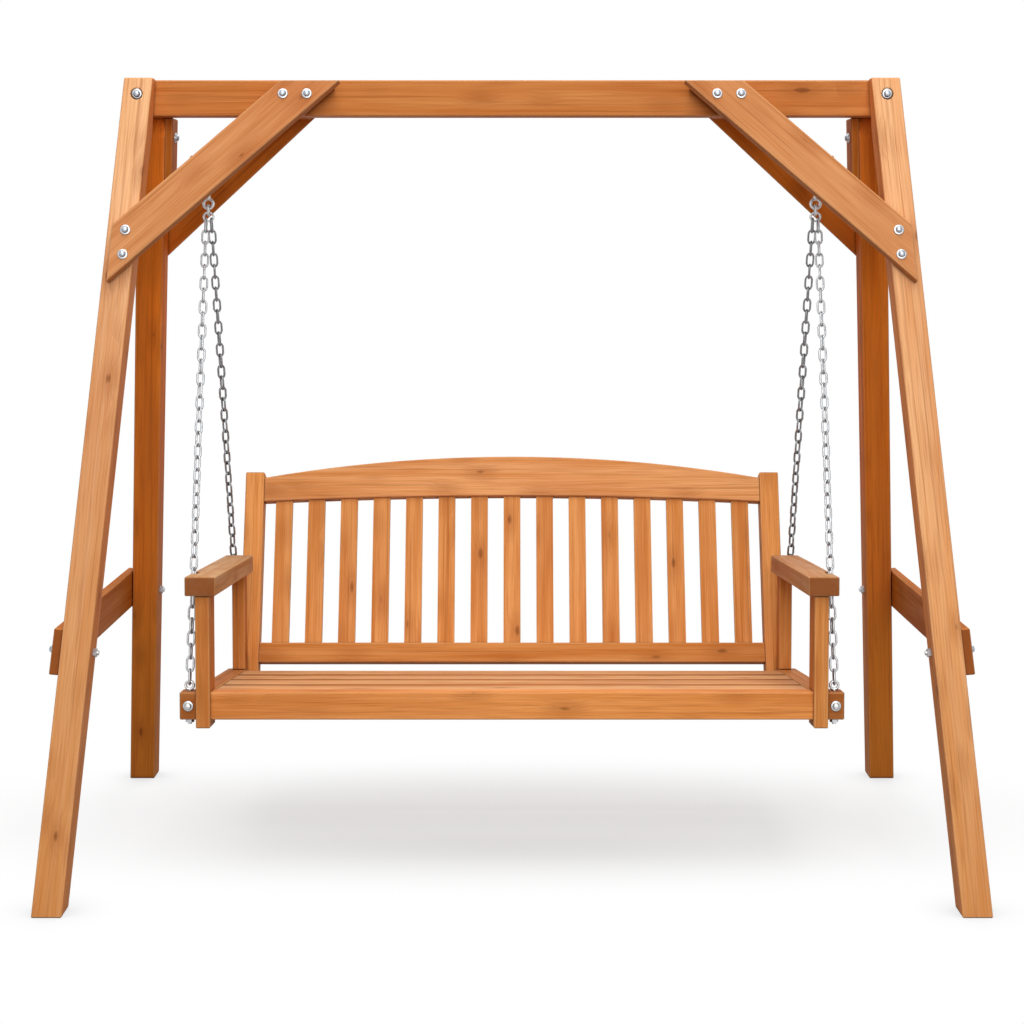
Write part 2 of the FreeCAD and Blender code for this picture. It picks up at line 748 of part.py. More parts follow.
def build_bench_fasteners():
    front_length = size.rail_height + size.nut_height + size.nut_tail
    rear_length = front_length - size.tail_drop
    eyes, nuts, screws = [], [], []
    nut = hex_nut(size.screw_diameter)
    lock = headed_bolt(size.screw_diameter, size.lock_screw_depth)
    down = Rotation(X_AXIS, 180)
    for side in SIDES.values():
        for seat, place, length, low in ((front_eye, BENCH, front_length, size.rail_low),
                                         (rear_eye, SEAT, rear_length, -size.rail_height)):
            eye = eyebolt(size.eye_radius, size.eye_wire, size.screw_diameter, length)
            across = side * seat.x
            eyes.append(placed(eye, place.multiply(Placement(Vector(across, seat.y, seat.z), Rotation()))))
            nuts.append(placed(nut, place.multiply(Placement(Vector(across, seat.y, low), down))))
        front = Vector(side * front_eye.x, size.rail_set_back, size.rail_low + size.rail_height / 2)
        screws.append(placed(lock, BENCH.multiply(aimed(front, -Y_AXIS))))
    group("chain_eyebolts", eyes)
    group("chain_eye_nuts", nuts)
    group("lock_screws", screws)


# The bench

def build_front_rail():
    half = "(Sizes.post_inner + Sizes.post_thickness + Sizes.rail_overhang)"
    body = board("front_rail", BENCH, (-post_outer - size.rail_overhang, size.rail_set_back, size.rail_low),
                 "2 * " + half, "Sizes.rail_depth", "Sizes.rail_height")
    for side in SIDES.values():
        drill(body, Vector(side * front_eye.x, front_eye.y, 0), Z_AXIS, "Sizes.screw_diameter", 2 * rail_top)
        drill(body, Vector(side * front_eye.x, 0, size.rail_low + size.rail_height / 2), Y_AXIS,
              "Sizes.screw_diameter", size.rail_set_back + size.lock_screw_depth + size.joint_gap)


def left_edge(side, inner, outer):
    """The X at which a piece that spans inner to outer on one side starts."""
    return inner if side > 0 else -outer


def build_front_post(label, side):
    body = board(label, BENCH, (left_edge(side, size.post_inner, post_outer), 0, 0),
                 "Sizes.post_thickness", "Sizes.front_post_depth", "Sizes.arm_underside")
    room = size.hole_room
    corner = Vector(-size.foot_half_width, size.rail_set_back - room, size.rail_low - room)
    cut_box(body, Placement(corner, Rotation()), 2 * size.foot_half_width, size.rail_depth + 2 * room,
            size.rail_height + 2 * room)


def build_rear_post(label, side):
    """A post on the side rail, its foot cut to the seat's slope."""
    body = start_body(label, BENCH)
    foot = [SEAT_IN_BENCH.multVec(Vector(0, seat_run(y, 0), 0)).z
            for y in (size.rear_post_front, rear_post_rear)]
    points = [(size.rear_post_front, foot[0]), (rear_post_rear, foot[1]),
              (rear_post_rear, size.arm_underside), (size.rear_post_front, size.arm_underside)]
    offset = left_edge(side, size.post_inner, post_outer)
    ease(body, pad(body, "YZ_Plane", polygon(points), offset, "Sizes.post_thickness"))


def build_armrest(label, side):
    """A broad board on the posts, notched at its outer edge where the front chain goes by."""
    inner = size.post_inner - size.arm_inner_overhang
    outer = post_outer + size.arm_outer_overhang
    body = board(label, BENCH, (left_edge(side, inner, outer), -size.arm_front_overhang, size.arm_underside),
                 "Sizes.post_thickness + Sizes.arm_inner_overhang + Sizes.arm_outer_overhang",
                 "Sizes.arm_rear + Sizes.arm_front_overhang", "Sizes.arm_thickness")
    top, bottom = (BENCH.inverse().multVec(end) for end in chain_ends(side)["front"])
    slope = (top.y - bottom.y) / (top.z - bottom.z)
    middle = bottom.y + slope * (size.arm_underside + size.arm_thickness / 2 - bottom.z)
    reach = size.link_inner_width / 2 + 2 * size.wire + slope * size.arm_thickness / 2
    edge = left_edge(side, outer - size.notch_depth, outer + size.notch_depth)
    corner = Vector(edge, middle - reach, size.arm_underside - size.arm_thickness)
    cut_box(body, Placement(corner, Rotation()), 2 * size.notch_depth, 2 * reach, 3 * size.arm_thickness)


def build_side_rail(label, side):
    """A seat side with a lower tail behind the back, where the rear chain is hooked on."""
    body = start_body(label, SEAT)
    low = -size.rail_height
    behind_post = size.front_post_depth + size.joint_gap
    points = [(seat_run(behind_post, 0), 0), (tail_end, 0), (tail_end, low),
              (seat_run(behind_post, low), low)]
    offset = left_edge(side, size.post_inner, side_rail_outer)
    ease(body, pad(body, "YZ_Plane", polygon(points), offset, "Sizes.side_rail_thickness"))
    step = Vector(-size.foot_half_width, tail_front, -size.tail_drop)
    cut_box(body, Placement(step, Rotation()), 2 * size.foot_half_width, 2 * size.tail_length,
            size.rail_height)
    drill(body, Vector(side * rear_eye.x, rear_eye.y, 2 * low), Z_AXIS, "Sizes.screw_diameter",
          3 * size.rail_height)


rear_rail_front = size.seat_rear + size.joint_gap


def build_seat():
    inside = size.post_inner - size.joint_gap
    length = "2 * (Sizes.post_inner - Sizes.joint_gap)"
    board("rear_rail", SEAT, (-inside, rear_rail_front, -size.rail_height), length, "Sizes.rear_rail_depth",
          "Sizes.rail_height - Sizes.rear_rail_drop")
    low, high = -size.rail_height, -size.slat_thickness
    behind_rail = rail_rear + size.joint_gap
    for name, start in (("left", -inside), ("middle", -size.bearer_width / 2),
                        ("right", inside - size.bearer_width)):
        body = start_body(name + "_bearer", SEAT)
        points = [(seat_run(behind_rail, high), high), (size.seat_rear, high), (size.seat_rear, low),
                  (seat_run(behind_rail, low), low)]
        ease(body, pad(body, "YZ_Plane", polygon(points), start, "Sizes.bearer_width"))
    front = seat_run(behind_rail, -size.slat_thickness) + size.joint_gap
    width = (size.seat_rear - front - (SEAT_SLATS - 1) * size.slat_gap) / SEAT_SLATS
    for index in range(SEAT_SLATS):
        board("seat_slat_%d" % (index + 1), SEAT,
              (-inside, front + index * (width + size.slat_gap), -size.slat_thickness),
              length, "%.6f" % width, "Sizes.slat_thickness")


def build_stile(label, side):
    """A back upright that laps over the side rail's tail and runs down its inner face."""
    body = start_body(label, SEAT)
    low = -size.rail_height
    tilt = math.radians(size.back_tilt)
    thick = size.stile_depth / math.cos(tilt)
    top = Vector(back_front + size.stile_height * math.sin(tilt), size.stile_height * math.cos(tilt))
    rear = top + Vector(size.stile_depth * math.cos(tilt), -size.stile_depth * math.sin(tilt))
    foot = back_front + low * back_slope
    points = [(foot, low), (foot + thick, low), (rear.x, rear.y), (top.x, top.y)]
    outer = size.stile_inner + size.stile_width
    ease(body, pad(body, "YZ_Plane", polygon(points), left_edge(side, size.stile_inner, outer),
                   "Sizes.stile_width"))
    shoulder = size.post_inner - size.joint_gap
    corner = Vector(left_edge(side, shoulder, 2 * outer), 0, 2 * low)
    cut_box(body, Placement(corner, Rotation()), 2 * outer - shoulder, 2 * tail_end,
            -2 * low - size.tail_drop + size.joint_gap)


half_back = size.stile_inner


def arch(rise, across):
    """Height above its ends of a shallow arc that spans the back."""
    radius = (half_back ** 2 + rise ** 2) / (2 * rise)
    return math.sqrt(radius ** 2 - across ** 2) - (radius - rise)


def build_back():
    low_top = size.low_rail_bottom + size.low_rail_height
    board("low_back_rail", BACK, (-half_back, 0, size.low_rail_bottom), "2 * Sizes.stile_inner",
          "Sizes.back_rail_thickness", "Sizes.low_rail_height")
    body = start_body("top_back_rail", BACK)
    low = size.top_rail_bottom
    high = low + size.top_rail_end_height
    corners = [Vector(-half_back, low), Vector(half_back, low),
               Vector(half_back, high), Vector(-half_back, high)]
    edges = [Part.Arc(corners[0], Vector(0, low + size.top_rail_low_rise), corners[1]),
             Part.LineSegment(corners[1], corners[2]),
             Part.Arc(corners[2], Vector(0, high + size.top_rail_high_rise), corners[3]),
             Part.LineSegment(corners[3], corners[0])]
    ease(body, pad(body, "XZ_Plane", edges, -size.back_rail_thickness, "Sizes.back_rail_thickness"))
    slats = []
    front = (size.back_rail_thickness - size.back_slat_thickness) / 2
    half = size.back_slat_width / 2
    for index in range(BACK_SLATS):
        middle = (index - (BACK_SLATS - 1) / 2) * size.back_slat_pitch
        tops = [low + arch(size.top_rail_low_rise, middle + step) for step in (-half, half)]
        points = [(middle - half, low_top), (middle + half, low_top), (middle + half, tops[1]),
                  (middle - half, tops[0]), (middle - half, low_top)]
        face = Part.Face(Part.makePolygon([Vector(x, front, z) for x, z in points]))
        slat = face.extrude(Y_AXIS * size.back_slat_thickness)
        slats.append(placed(slat, BACK))
    group("back_slats", slats)


def build_bench():
    build_front_rail()
    for name, side in SIDES.items():
        build_front_post("front_%s_post" % name, side)
        build_rear_post("rear_%s_post" % name, side)
        build_armrest("%s_armrest" % name, side)
        build_side_rail("%s_side_rail" % name, side)
        build_stile("%s_stile" % name, side)
    build_seat()
    build_back()


build_stand()
build_stand_fasteners()
build_chains()
build_bench()
build_bench_fasteners()
doc.recompute()

for item in doc.Objects:
    if "Invalid" in item.State or "Error" in item.State:
        raise RuntimeError("%s failed: %s" % (item.Name, item.State))
for node in nodes:
    if node.Shape.isNull() or not node.Shape.isValid():
        raise RuntimeError("%s has no valid shape" % node.Label)
os.makedirs("parts", exist_ok=True)
for node in nodes:
    node.Shape.exportStep("parts/%s.step" % node.Label)
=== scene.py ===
"""Dresses the porch swing: stained pine boards, zinc-plated chain and bolts, a pale floor and soft light.

Metres, in the frame of the solids: X along the top beam, the bench faces -Y, Z up, origin on the ground.
"""
import json
import math
import bmesh
import bpy
from mathutils import Matrix, Vector


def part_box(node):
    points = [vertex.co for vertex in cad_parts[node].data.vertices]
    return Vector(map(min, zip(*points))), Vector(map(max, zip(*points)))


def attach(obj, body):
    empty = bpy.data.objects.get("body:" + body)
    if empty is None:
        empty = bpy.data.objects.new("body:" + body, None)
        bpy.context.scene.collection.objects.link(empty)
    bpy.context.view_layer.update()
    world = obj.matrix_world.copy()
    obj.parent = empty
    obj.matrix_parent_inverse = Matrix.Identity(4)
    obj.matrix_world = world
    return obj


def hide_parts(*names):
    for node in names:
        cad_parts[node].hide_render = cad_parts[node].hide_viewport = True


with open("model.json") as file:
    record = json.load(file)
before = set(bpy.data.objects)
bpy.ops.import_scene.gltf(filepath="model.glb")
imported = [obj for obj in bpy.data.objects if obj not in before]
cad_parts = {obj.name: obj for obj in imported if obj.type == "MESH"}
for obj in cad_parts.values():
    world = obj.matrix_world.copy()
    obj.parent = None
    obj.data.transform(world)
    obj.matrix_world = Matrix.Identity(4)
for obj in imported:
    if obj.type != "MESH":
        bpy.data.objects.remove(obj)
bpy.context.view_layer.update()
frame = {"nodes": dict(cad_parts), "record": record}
nodes = frame["nodes"]

SIDES = {"left": -1, "right": 1}
RIGHTWARD = Vector((1, 0, 0))
FORWARD = Vector((0, -1, 0))
BACKWARD = Vector((0, 1, 0))

# Ways of the boards: how far a leg goes out for each metre down, how the rear right brace runs from the
# beam, and how far the bench, its seat and its back tilt
LEG_LEAN = 0.2987
FRONT_SPLAY = 0.0793
REAR_SPLAY = 0.0892
BRACE_RUN = Vector((0.738, 0.193, -0.646))
BENCH_TILT = math.radians(4.5)
SEAT_TILT = math.radians(7.1)
BACK_TILT = math.radians(23.1)

# From one back slat to the next, and how many times that much farther apart they are cut from their tree
BACK_SLAT_PITCH = 0.0795
BACK_SLAT_SPREAD = 5.3

# Seat boards, a little short of the side rails so that a dark gap shows at their ends
SEAT_SLATS = ["seat_slat_%d" % number for number in range(1, 5)]
SEAT_BOARD = (1.2554, 0.1131, 0.020)
SEAT_BOARD_ROUND = 0.006
SEAT_ROUND_STEPS = 5

# The front rail is darker beyond the front posts, this far from its middle. The others are nowhere darker
RAIL_AT_POST = 0.652
BEYOND_ANY_BOARD = 10.0
DARKENING_WIDTH = 0.004

# Pale and deep hues of the stain. A board takes the first row that names it or a part of its name
STAINS = (
    # The first three rows' deeper, more saturated hues are a painted shade of boards seen mostly in shade
    (("rear_left_leg", "rear_right_leg"), "#F98B2E", "#E4711A"),
    (("rear_left_brace", "rear_right_brace"), "#EA8A33", "#D6711D"),
    (("stretcher", "hanger_bar", "packers", "cleats"), "#CD7B2D", "#B9651C"),
    (("front_right_leg",), "#FCC794", "#EFAC73"),
    (("leg",), "#F2BE8E", "#E2A46E"),
    (("brace",), "#D59562", "#C37E4B"),
    (("top_beam",), "#D78D4E", "#C57436"),
    (("stile",), "#F2A863", "#E4924A"),
    (("low_back_rail",), "#D69252", "#C17434"),
    (("top_back_rail",), "#EDAC73", "#DB9051"),
    (("front_rail",), "#F3A35E", "#E08940"),
    (("seat_slat",), "#EEB986", "#DC9E64"),
    (("armrest",), "#CEA275", "#BE8956"),
    (("back_slats",), "#E5A060", "#CF803F"),
    (("post", "rail", "bearer"), "#DE9755", "#C87836"),
)
# Darker hues of the seat boards' rounded edges, a painted shade of the gaps between them
GAP_SHADE_HUES = ("#B0622B", "#904D20")
GAP_SEED = 50

# The legs are deeper in hue from this height down, a painted shade of the light falling off towards the
# ground, and the front legs on all sides but their front, a painted shade of the sides turned from the
# light
PAINTED_SHADE_BELOW = 1.3
LEG_FOOT_SHADE_SHARE = 0.68
LEG_SIDE_SHADE_SHARE = 0.8

# Grain: cells of noise in a metre along and across the board, and the noise's detail. Streaks are 13 mm
# wide and half a metre long. Real fibres are under 1 mm wide, and are drawn 3 mm wide so that they show
GRAIN = {"streak": ((2.2, 75, 75), 4.0),
         "fibre": ((9, 330, 330), 2.0),
         "tone": ((1.4, 9, 9), 2.0),
         "line": ((1.6, 170, 170), 1.0)}

# From one board's place in the noise to the next one's, so that no two boards have the same grain
TREE_STEP = (1.7, 0.83, 0.59)

# Knots up to 20 mm across, one to 220 by 50 by 50 mm of trunk, drawn out along the grain. Core and halo
# start and are full at these distances, which the streaks make ragged
KNOT_CELLS = (4.5, 20, 20)
KNOT_DRAW = 0.45
KNOT_RAGGED = 0.022
KNOT_CORE = (0.017, 0.012)
KNOT_HALO = (0.042, 0.014)

# Growth rings 6 mm apart round a pith beside the board, which sway, and bend round the knots
YEAR_GAP = 0.006
YEAR_SWAY = 0.05
YEAR_BEND = 0.01
PITH_ASIDE = 0.05
PITH_ASIDE_STEP = 0.01
PITH_PLACES = 5
PITH_BELOW = 0.075
PITH_SLANT = 0.03

# Radius of the eased edges, and how near to another piece the joints are darkened, a painted shade
EASED_EDGE = 0.004
JOINT_SHADE_REACH = 0.014

# Wire of the chains and their fittings, and the wires that the right-hand chains hang between
WIRE = 0.0050
LINK_WIDTH = 0.0095
LINK_GAP = 0.0003
LINK_ROUND = 0.0035
RING_SEAT = 0.00325
EYE_SEAT = 0.00424
CHAINS = {"front": (Vector((0.6804, 0, 1.40825)), Vector((0.678, -0.374948, 0.446118)), 38),
          "rear": (Vector((0.6686, 0, 1.40825)), Vector((0.6625, 0.31001, 0.34461)), 42)}
HANGER_REACH = 0.6745
CONNECTOR_MIDDLE = 1.4325
CONNECTOR_LENGTH = 0.0175
CONNECTOR_WIDTH = 0.010
RING_MIDDLE = 1.4173
RING_HEIGHT = 0.0135
RING_WIDTH = 0.017

# Eyebolts, the lengths of their shanks, and where the right-hand shanks meet the wood
HANGER_EYEBOLT = {"reach": 0.0105, "wire": 0.007, "shank": 0.010}
CHAIN_EYEBOLT = {"reach": 0.0085, "wire": 0.006, "shank": 0.008}
HANGER_EYE_LENGTH = 0.0985
FRONT_EYE_LENGTH = 0.070
REAR_EYE_LENGTH = 0.055
FRONT_EYE = Vector((0.678, -0.376517, 0.42618))
REAR_EYE = Vector((0.6625, 0.307538, 0.324763))
HANGER_EYE_TOP = 1.4605

# Washers with a chamfered rim. A head's dome as distances from the bolt's axis and heights over the wood
WASHER_RADIUS = 0.011
WASHER_HEIGHT = 0.0025
WASHER_CHAMFER = 0.0006
HEAD_DOME = ((0.0076, 0.0025), (0.0075, 0.0036), (0.0069, 0.0060), (0.0054, 0.0081), (0.0029, 0.0092),
             (0, 0.0095))

# Shanks of bolts and screws, and their lengths under the washer
BOLT_SHANK = 0.010
SCREW_SHANK = 0.008
APEX_BOLT_LENGTH = 0.1642
STRETCHER_BOLT_LENGTH = 0.0946
BEAM_SCREW_LENGTH = 0.1005
LEG_SCREW_LENGTH = 0.052
CLEAT_SCREW_LENGTH = 0.045
LOCK_SCREW_LENGTH = 0.016

# Where the right-hand bolts' washers sit, and the ways that their heads face
BRACE_OUT = Vector((0, -0.958179, 0.286169))
BEAM_SCREWS = [Vector((across, -0.106488, 1.679368)) for across in (0.44251, 0.49411)]
FRONT_LEG_SCREWS = [Vector((0.824547, -0.193535, 1.387908)), Vector((0.828633, -0.208934, 1.33635))]
REAR_LEG_SCREWS = [Vector((0.809708, 0.189658, 1.400892)), Vector((0.814348, 0.205201, 1.348849))]
APEX_SEAT = Vector((0.813774, -0.076134, 1.681))
STRETCHER_OUT = Vector((0.996452, 0.006475, 0.083909))
STRETCHER_SEATS = [Vector((0.957592, -0.393601, 0.518229)), Vector((0.952475, 0.393867, 0.518229))]
LOCK_SEAT = Vector((0.678, -0.402719, 0.399152))
CLEAT_SEAT = Vector((0.756878, 0.071936, 1.594))
CLEAT_OUT = Vector((-0.996049, 0, -0.088809))

# How finely round steel is drawn
LINK_STEPS = 12
LINK_SIDES = 6
RING_STEPS = 20
EYE_STEPS = 24
WIRE_SIDES = 10
SHANK_SIDES = 16
BOLT_STEPS = 20
SHARP_ANGLE = math.radians(65)
MERGE_DISTANCE = 0.00001

# Camera, with its lens and sensor in millimetres
CAMERA_PLACE = (0, -4.6, 1.3614)
CAMERA_DIP = math.radians(7.5)
CAMERA_LENS = 72
CAMERA_SENSOR = 36

# Places, sizes and powers of the lamps, the point that they face, and the light of the room
LAMPS = {"key": ((-0.3, -1.9, 6.6), 5.0, 272),
         "fill": ((0.6, -7.0, 3.4), 4.0, 281),
         "back": ((0.8, 4.8, 5.0), 3.0, 120)}
LAMP_AIM = Vector((0, 0, 0.9))
ROOM_LIGHT = 0.26

# The floor, just under the feet, and the oval patch of it that shows shadows. The floor is all white from
# the patch's reach on, and has this share of white in the patch's core. Feet darken the white round them
FLOOR_REACH = 12.0
FLOOR_DROP = 0.0005
PATCH_SHIFT = (0, -0.42, 0)
PATCH_SQUEEZE = (1, 2.8, 1)
PATCH_CORE = 0.4
PATCH_REACH = 1.8
PATCH_WHITE = 0.5
CONTACT_REACH = 0.1
CONTACT_WHITE = 0.82


def linear(code):
    """An sRGB hex colour as the linear values that Blender takes."""
    parts = [int(code[i:i + 2], 16) / 255 for i in (1, 3, 5)]
    return tuple(c / 12.92 if c <= 0.04045 else ((c + 0.055) / 1.055) ** 2.4 for c in parts) + (1.0,)


def add(tree, kind, inputs=None, **settings):
    """Adds a node with its settings. An input takes a value, or another node's output."""
    node = tree.nodes.new(kind)
    for name, value in settings.items():
        setattr(node, name, value)
    for name, value in (inputs or {}).items():
        socket = node.inputs[name]
        if isinstance(value, bpy.types.NodeSocket):
            tree.links.new(value, socket)
        else:
            socket.default_value = value
    return node


def new_material(name):
    """An empty material and its tree of nodes."""
    material = bpy.data.materials.new(name)
    material.use_nodes = True
    material.node_tree.nodes.clear()
    return material, material.node_tree


def knots(tree, cut, streak):
    """How far a point lies in a knot's core and in its halo, from zero to one."""
    trunk = add(tree, "ShaderNodeMapping", {"Vector": cut, "Scale": KNOT_CELLS}).outputs["Vector"]
    branch = add(tree, "ShaderNodeTexVoronoi", {"Vector": trunk, "Scale": 1.0}).outputs["Position"]
    apart = add(tree, "ShaderNodeVectorMath", {0: trunk, 1: branch}, operation="SUBTRACT").outputs["Vector"]
    lengthwise, across, deep = KNOT_CELLS
    cell_size = (KNOT_DRAW / lengthwise, 1 / across, 1 / deep)
    metres = add(tree, "ShaderNodeVectorMath", {0: apart, 1: cell_size},
                 operation="MULTIPLY").outputs["Vector"]
    distance = add(tree, "ShaderNodeVectorMath", {0: metres}, operation="LENGTH").outputs["Value"]
    ragged = add(tree, "ShaderNodeMath", {0: streak, 1: KNOT_RAGGED, 2: distance},
                 operation="MULTIPLY_ADD").outputs["Value"]
    amounts = []
    for start, full in (KNOT_CORE, KNOT_HALO):
        amount = add(tree, "ShaderNodeMapRange", {"Value": ragged, "From Min": start, "From Max": full},
                     interpolation_type="SMOOTHSTEP")
        amounts.append(amount.outputs["Result"])
    return amounts


def growth(tree, board, seed, tone, halo):
    """How far a point lies in its year's growth, from zero to one."""
    beside = (0, PITH_ASIDE + PITH_ASIDE_STEP * (seed % PITH_PLACES), PITH_BELOW)
    pith = add(tree, "ShaderNodeMapping", {"Vector": board, "Location": beside,
                                           "Scale": (PITH_SLANT, 1, 1)}).outputs["Vector"]
    reach = add(tree, "ShaderNodeVectorMath", {0: pith}, operation="LENGTH").outputs["Value"]
    swayed = add(tree, "ShaderNodeMath", {0: tone, 1: YEAR_SWAY, 2: reach},
                 operation="MULTIPLY_ADD").outputs["Value"]
    bent = add(tree, "ShaderNodeMath", {0: halo, 1: YEAR_BEND, 2: swayed},
               operation="MULTIPLY_ADD").outputs["Value"]
    years = add(tree, "ShaderNodeMath", {0: bent, 1: 1 / YEAR_GAP}, operation="MULTIPLY").outputs["Value"]
    return add(tree, "ShaderNodeMath", {0: years}, operation="FRACT").outputs["Value"]


def stained_pine(name, along, middle, seed, pale, deep, pitch=None, dark_past=BEYOND_ANY_BOARD, foot=0.0,
                 unfaded=0.0):
    """Planed pine under a satin orange-brown stain. Early wood drinks more stain than late wood, so the eye
    sees soft, warm streaks along the board and faint rings, with a few soft knots and darker end grain. Its
    eased edges are paler, a painted highlight with rubbed wear, and a dark line in the joints is a painted
    shade. A board can be darker past a distance from its middle, deeper in hue towards the ground, a
    painted shade of the light falling off there, and deeper in hue where it doesn't face the front, a
    painted shade of the sides turned from the light."""
    material, tree = new_material(name)
    place = add(tree, "ShaderNodeTexCoord").outputs
    spot = place["Object"]
    along = along.normalized()
    if pitch:
        # Every slat of the back is cut from a board of its own
        nudged = add(tree, "ShaderNodeVectorMath", {0: spot, 1: (pitch / 2, 0, 0)}).outputs["Vector"]
        cell = add(tree, "ShaderNodeVectorMath", {0: nudged, 1: (pitch, 1, 1)}, operation="SNAP")
        shift = add(tree, "ShaderNodeVectorMath", {0: cell.outputs["Vector"], 1: (BACK_SLAT_SPREAD, 0, 0)},
                    operation="MULTIPLY")
        spot = add(tree, "ShaderNodeVectorMath", {0: spot, 1: shift.outputs["Vector"]}).outputs["Vector"]
    turn = along.rotation_difference(RIGHTWARD)
    board = add(tree, "ShaderNodeMapping", {"Vector": spot, "Rotation": turn.to_euler(),
                                            "Location": -(turn @ middle)}).outputs["Vector"]
    own_tree = tuple(seed * step for step in TREE_STEP)
    cut = add(tree, "ShaderNodeMapping", {"Vector": board, "Location": own_tree}).outputs["Vector"]

    grain = {}
    for kind, (cells, detail) in GRAIN.items():
        drawn = add(tree, "ShaderNodeMapping", {"Vector": cut, "Scale": cells}).outputs["Vector"]
        noise = add(tree, "ShaderNodeTexNoise", {"Vector": drawn, "Scale": 1.0, "Detail": detail})
        grain[kind] = noise.outputs["Fac"]
    core, halo = knots(tree, cut, grain["streak"])
    year = growth(tree, board, seed, grain["tone"], halo)

    # Distance from the board's middle, height, how far the face looks to the front and along the board, how
    # far the eased edge still has the face's own way, and how open the spot lies
    run = add(tree, "ShaderNodeSeparateXYZ", {"Vector": board}).outputs["X"]
    out = add(tree, "ShaderNodeMath", {0: run}, operation="ABSOLUTE").outputs["Value"]
    height = add(tree, "ShaderNodeSeparateXYZ", {"Vector": place["Object"]}).outputs["Z"]
    ahead = add(tree, "ShaderNodeVectorMath", {0: place["Normal"], 1: FORWARD},
                operation="DOT_PRODUCT").outputs["Value"]
    facing = add(tree, "ShaderNodeVectorMath", {0: place["Normal"], 1: along},
                 operation="DOT_PRODUCT").outputs["Value"]
    end_on = add(tree, "ShaderNodeMath", {0: facing}, operation="ABSOLUTE").outputs["Value"]
    eased = add(tree, "ShaderNodeBevel", {"Radius": EASED_EDGE}, samples=4).outputs["Normal"]
    flat = add(tree, "ShaderNodeNewGeometry").outputs["Normal"]
    level = add(tree, "ShaderNodeVectorMath", {0: eased, 1: flat}, operation="DOT_PRODUCT").outputs["Value"]
    open_air = add(tree, "ShaderNodeAmbientOcclusion", {"Distance": JOINT_SHADE_REACH}, samples=4).outputs["AO"]

    # From the lowest layer up: streaks, painted shade towards the foot, painted shade on the sides turned
    # from the front, late wood, broad tones, fibres, thin lines, knots' halos and cores, darker ends, a
    # painted highlight with rubbed wear on the eased edges, end grain and painted shade in the joints. Each
    # row has what the layer goes by, where it starts, where it is full, its share there and its hue
    layers = ((grain["streak"], 0.32, 0.68, 1.0, deep),
              # Painted shade: deeper in hue towards the ground, where less light falls
              (height, PAINTED_SHADE_BELOW, 0.0, foot, "#C67A30"),
              # Painted shade: deeper in hue on faces turned from the front, away from the light
              (ahead, 0.9, 0.4, unfaded, "#F4964E"),
              (year, 0.3, 1.0, 0.18, "#B5622A"),
              (grain["tone"], 0.45, 0.7, 0.46, "#B5622C"),
              (grain["fibre"], 0.5, 0.72, 0.36, "#AB5A22"),
              (grain["line"], 0.62, 0.7, 0.3, "#8C4414"),
              (halo, 0.0, 1.0, 0.32, "#9A4F1E"),
              (core, 0.0, 1.0, 0.6, "#6E3514"),
              (out, dark_past, dark_past + DARKENING_WIDTH, 0.7, "#86471E"),
              # Painted highlight with rubbed wear: paler on the eased edges
              (level, 0.99, 0.88, 0.6, "#F4BE86"),
              (end_on, 0.6, 0.85, 0.85, "#874820"),
              # Painted shade: darker in the joints and between parts, where less light reaches
              (open_air, 0.75, 0.3, 0.8, "#421C07"))
    colour = linear(pale)
    for measure, start, full, share, hue in layers:
        amount = add(tree, "ShaderNodeMapRange", {"Value": measure, "From Min": start, "From Max": full,
                                                  "To Max": share}).outputs["Result"]
        layer = add(tree, "ShaderNodeMix", {"Factor": amount, 6: colour, 7: linear(hue)}, data_type="RGBA")
        colour = layer.outputs[2]

    rough = add(tree, "ShaderNodeMapRange", {"Value": grain["streak"], "From Min": 0.3, "From Max": 0.7,
                                             "To Min": 0.5, "To Max": 0.65}).outputs["Result"]
    bump = add(tree, "ShaderNodeBump", {"Height": grain["fibre"], "Strength": 0.2, "Distance": 0.0005,
                                        "Normal": eased}).outputs["Normal"]
    skin = add(tree, "ShaderNodeBsdfPrincipled", {"Base Color": colour, "Roughness": rough, "IOR": 1.46,
                                                  "Specular IOR Level": 0.06, "Normal": bump})
    add(tree, "ShaderNodeOutputMaterial", {"Surface": skin.outputs["BSDF"]})
    return material


def zinc_plate(name, bright, dim, contact_shade=0.8):
    """Electroplated zinc on steel wire and bolts: a pale grey metal with soft clouds a few millimetres
    across, darker where pieces touch, a painted shade."""
    material, tree = new_material(name)
    spot = add(tree, "ShaderNodeTexCoord").outputs["Object"]
    cloud = add(tree, "ShaderNodeTexNoise", {"Vector": spot, "Scale": 220.0, "Detail": 3.0}).outputs["Fac"]
    thick = add(tree, "ShaderNodeMapRange", {"Value": cloud, "From Min": 0.35, "From Max": 0.65})
    open_air = add(tree, "ShaderNodeAmbientOcclusion", {"Distance": 0.006}, samples=4).outputs["AO"]
    # Painted shade: darker where pieces touch and little light reaches
    touched = add(tree, "ShaderNodeMapRange", {"Value": open_air, "From Min": 0.6, "From Max": 0.25,
                                               "To Max": contact_shade}).outputs["Result"]
    plated = add(tree, "ShaderNodeMix", {"Factor": thick.outputs["Result"], 6: linear(dim),
                                         7: linear(bright)}, data_type="RGBA").outputs[2]
    colour = add(tree, "ShaderNodeMix", {"Factor": touched, 6: plated, 7: linear("#3C3E40")},
                 data_type="RGBA").outputs[2]
    rough = add(tree, "ShaderNodeMapRange", {"Value": cloud, "To Min": 0.32, "To Max": 0.5})
    skin = add(tree, "ShaderNodeBsdfPrincipled", {"Base Color": colour, "Metallic": 1.0,
                                                  "Roughness": rough.outputs["Result"]})
    add(tree, "ShaderNodeOutputMaterial", {"Surface": skin.outputs["BSDF"]})
    return material


def tilted(angle):
    """A direction that leans back from upright by an angle."""
    return Vector((0, math.sin(angle), math.cos(angle)))


